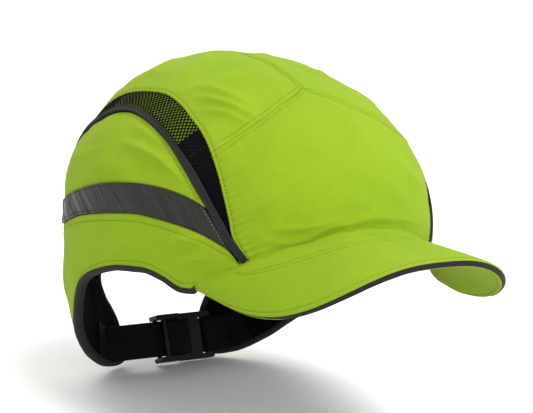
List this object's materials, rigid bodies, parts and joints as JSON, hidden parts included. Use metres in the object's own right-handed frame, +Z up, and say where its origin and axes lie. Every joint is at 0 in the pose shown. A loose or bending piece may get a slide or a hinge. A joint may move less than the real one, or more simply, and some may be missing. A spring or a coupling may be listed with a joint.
{
  "type": "bump cap",
  "caption": "High-visibility fabric bump cap with a stiff peak, side mesh vents, reflective bands, a padded inner impact shell and a buckled rear strap.",
  "frame": {"origin": "middle of the cap's bounding box at the level of the neck flap edges", "axes": "+Z up as worn, the peak points to -Y, +X is the wearer's left"},
  "size_m": [0.184, 0.2902, 0.1888],
  "materials": {
    "hi_vis_fabric": "woven, slightly sheeny",
    "black_mesh": "knitted mesh with small round holes",
    "grey_piping": "satin",
    "reflective_tape": "fine beaded satin",
    "black_lining": "brushed knit",
    "foam": "matt closed-cell foam",
    "shell_plastic": "moulded satin",
    "black_webbing": "ribbed weave",
    "buckle_plastic": "moulded satin"
  },
  "bodies": {
    "cap": {"front_panel": "hi_vis_fabric", "crown_panel_left": "hi_vis_fabric", "crown_panel_right": "hi_vis_fabric", "mesh_vent_left": "black_mesh", "mesh_vent_right": "black_mesh", "vent_piping_left": "grey_piping", "vent_piping_right": "grey_piping", "side_panel_left": "hi_vis_fabric", "side_panel_right": "hi_vis_fabric", "reflective_band_left": "reflective_tape", "reflective_band_right": "reflective_tape", "lower_panel_left": "hi_vis_fabric", "lower_panel_right": "hi_vis_fabric", "hem_binding_left": "grey_piping", "hem_binding_right": "grey_piping", "opening_binding": "grey_piping", "lining_left": "black_lining", "lining_right": "black_lining", "bump_shell": "shell_plastic", "pad_front": "foam", "pad_top": "foam", "pad_left": "foam", "pad_right": "foam", "pad_rear": "foam", "sweatband": "black_lining", "peak_top": "hi_vis_fabric", "peak_board": "shell_plastic", "peak_under": "hi_vis_fabric", "peak_piping": "grey_piping", "webbing_fixed": "black_webbing", "webbing_adjust": "black_webbing", "buckle_female": "buckle_plastic"},
    "buckle_male": {"buckle_male": "buckle_plastic"},
    "prong_upper": {"prong_upper": "buckle_plastic"},
    "prong_lower": {"prong_lower": "buckle_plastic"}
  },
  "joints": [
    {"name": "buckle_slide", "type": "slide", "parent": "cap", "child": "buckle_male", "axis": [-1, 0, 0], "range_m": [0, 0.018], "deforming": ["prong_upper", "prong_lower"]},
    {"name": "prong_upper_flex", "type": "hinge", "parent": "buckle_male", "child": "prong_upper", "pos_m": [0.0034, 0.11795, 0.02149], "axis": [0, 0.9272, -0.3746], "range_deg": [0, 8], "stiffness_Nm_per_rad": 0.3},
    {"name": "prong_lower_flex", "type": "hinge", "parent": "buckle_male", "child": "prong_lower", "pos_m": [0.0034, 0.11165, 0.00591], "axis": [0, -0.9272, 0.3746], "range_deg": [0, 8], "stiffness_Nm_per_rad": 0.3}
  ],
  "couplings": [
    {"joint": "prong_lower_flex", "follows": "prong_upper_flex", "ratio": 1}
  ]
}
